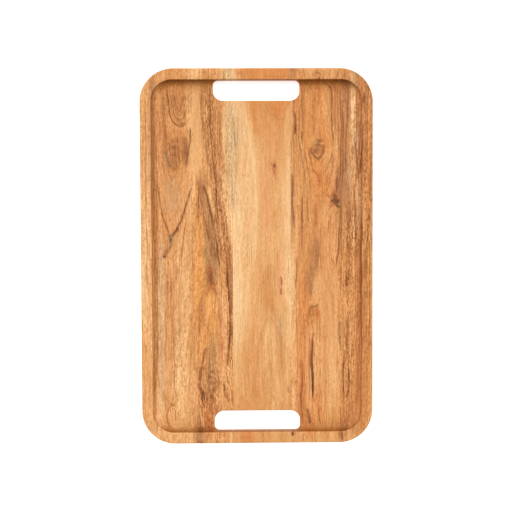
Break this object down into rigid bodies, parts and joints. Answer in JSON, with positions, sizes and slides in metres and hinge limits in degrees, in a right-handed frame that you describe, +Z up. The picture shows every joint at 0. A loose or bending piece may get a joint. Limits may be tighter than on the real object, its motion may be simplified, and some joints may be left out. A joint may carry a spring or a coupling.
{
  "type": "serving tray",
  "caption": "Rectangular acacia serving tray, carved from an edge-glued panel, with rounded corners, a raised rim, a coved basin and a slot handle at each end",
  "frame": {"origin": "middle of the underside, on the surface that the tray rests on", "axes": "+X across the tray to the right, +Y along the tray from the front handle to the back handle, +Z up out of the basin"},
  "size_m": [0.278, 0.45, 0.018],
  "materials": {
    "acacia_brown": "sanded and oiled, satin",
    "acacia_streaked": "sanded and oiled, satin",
    "acacia_pale": "sanded and oiled, satin",
    "acacia_orange": "sanded and oiled, satin",
    "wood_glue": "cured, sanded flush",
    "dark_resin": "sanded flush with the wood"
  },
  "bodies": {
    "root": {"left_outer_board": "acacia_brown", "left_inner_board": "acacia_streaked", "centre_board": "acacia_pale", "right_board": "acacia_orange", "back_bar_block": "acacia_pale", "front_bar_block": "acacia_pale", "left_outer_glue_line": "wood_glue", "floor_left_glue_line": "wood_glue", "floor_right_glue_line": "wood_glue", "back_bar_left_glue_line": "wood_glue", "back_bar_right_glue_line": "wood_glue", "front_bar_left_glue_line": "wood_glue", "front_bar_right_glue_line": "wood_glue", "long_check_fill": "dark_resin", "short_check_fill": "dark_resin", "knot_fill": "dark_resin"}
  },
  "joints": []
}
